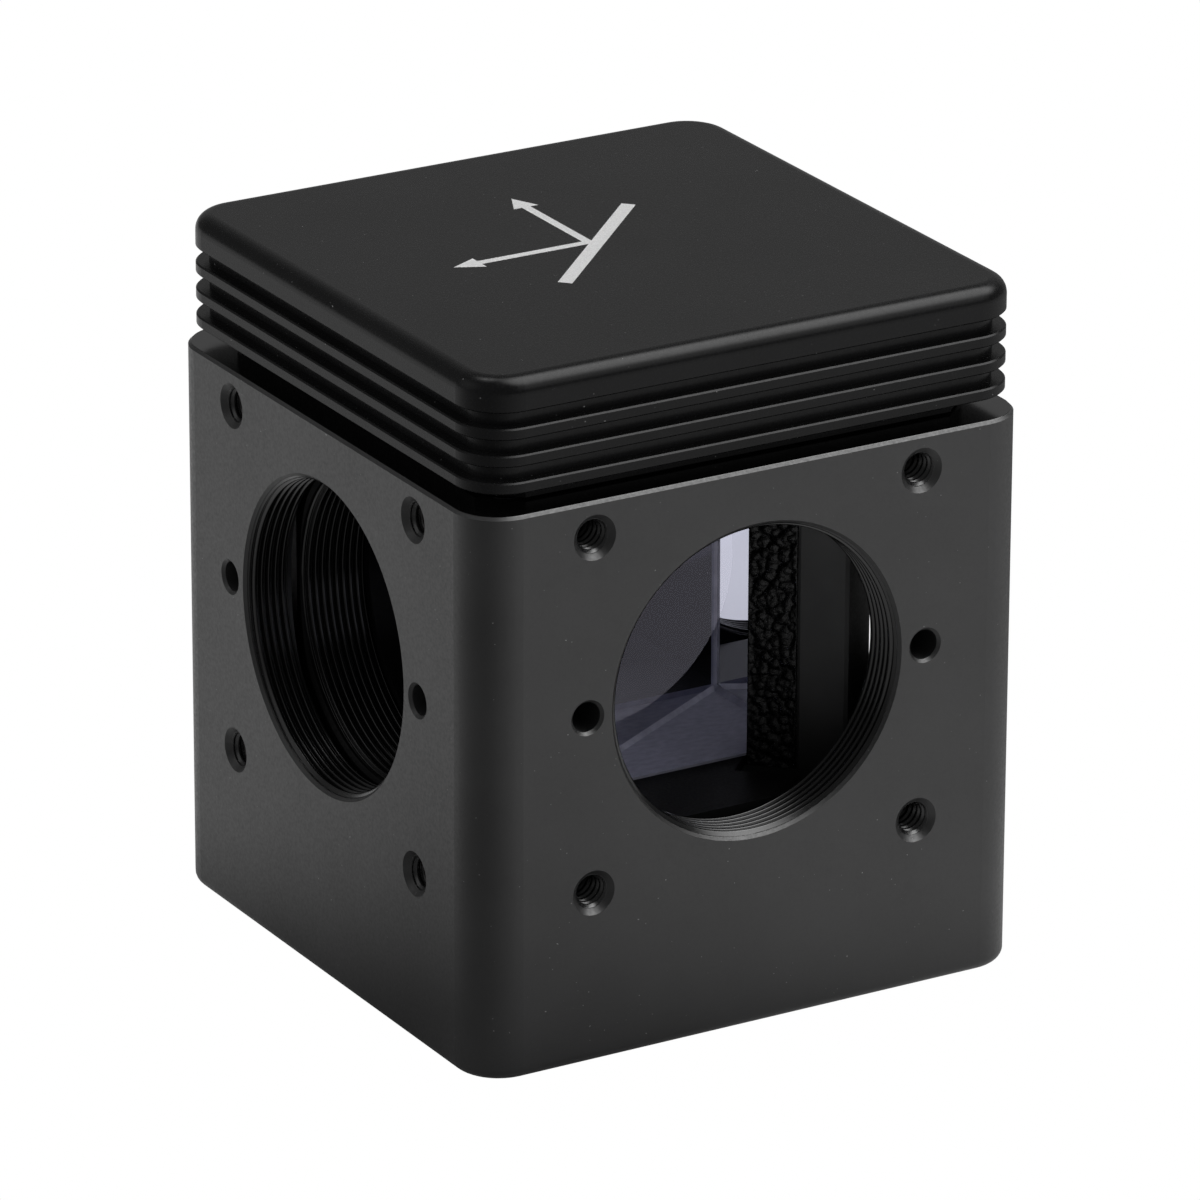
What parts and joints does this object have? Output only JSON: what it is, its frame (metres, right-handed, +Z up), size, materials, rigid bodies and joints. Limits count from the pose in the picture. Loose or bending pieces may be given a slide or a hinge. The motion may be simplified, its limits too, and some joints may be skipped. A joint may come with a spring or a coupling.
{
  "type": "optical cage cube",
  "caption": "Black cube-shaped optics holder with threaded ports on its sides and a ribbed lid whose magnetic insert carries a right-angle prism mirror.",
  "frame": {"origin": "centre of the base's bottom face", "axes": "+Z up, -Y out of the wide front port, -X out of the left port, where light comes in"},
  "size_m": [0.0508, 0.0508, 0.0587],
  "materials": {
    "black_anodised": "bead-blasted, black anodised",
    "clamp_black": "black anodised",
    "mirror_glass": "polished, coated on the long face, ground ends",
    "black_foam": "open-cell foam",
    "black_screws": "black oxide",
    "bearing_steel": "polished",
    "hard_steel": "ground",
    "nickel_magnets": "nickel plated"
  },
  "bodies": {
    "base": {"base_body": "black_anodised", "cone_seat": "hard_steel", "vee_seat": "hard_steel", "flat_seat": "hard_steel", "base_magnet_1": "nickel_magnets", "base_magnet_2": "nickel_magnets", "base_magnet_3": "nickel_magnets", "base_magnet_4": "nickel_magnets"},
    "insert": {"insert_cap": "black_anodised", "insert_block": "black_anodised", "prism_mirror": "mirror_glass", "foam_pad": "black_foam", "clamp_bar": "clamp_black", "clamp_screw_front": "black_screws", "clamp_screw_side": "black_screws", "cap_screw_1": "black_screws", "cap_screw_2": "black_screws", "cap_screw_3": "black_screws", "cap_screw_4": "black_screws", "cone_ball": "bearing_steel", "vee_ball": "bearing_steel", "flat_ball": "bearing_steel", "insert_magnet_1": "nickel_magnets", "insert_magnet_2": "nickel_magnets", "insert_magnet_3": "nickel_magnets", "insert_magnet_4": "nickel_magnets"}
  },
  "joints": [
    {"name": "insert_lift", "type": "slide", "parent": "base", "child": "insert", "axis": [0, 0, 1], "range_m": [0, 0.045]}
  ]
}
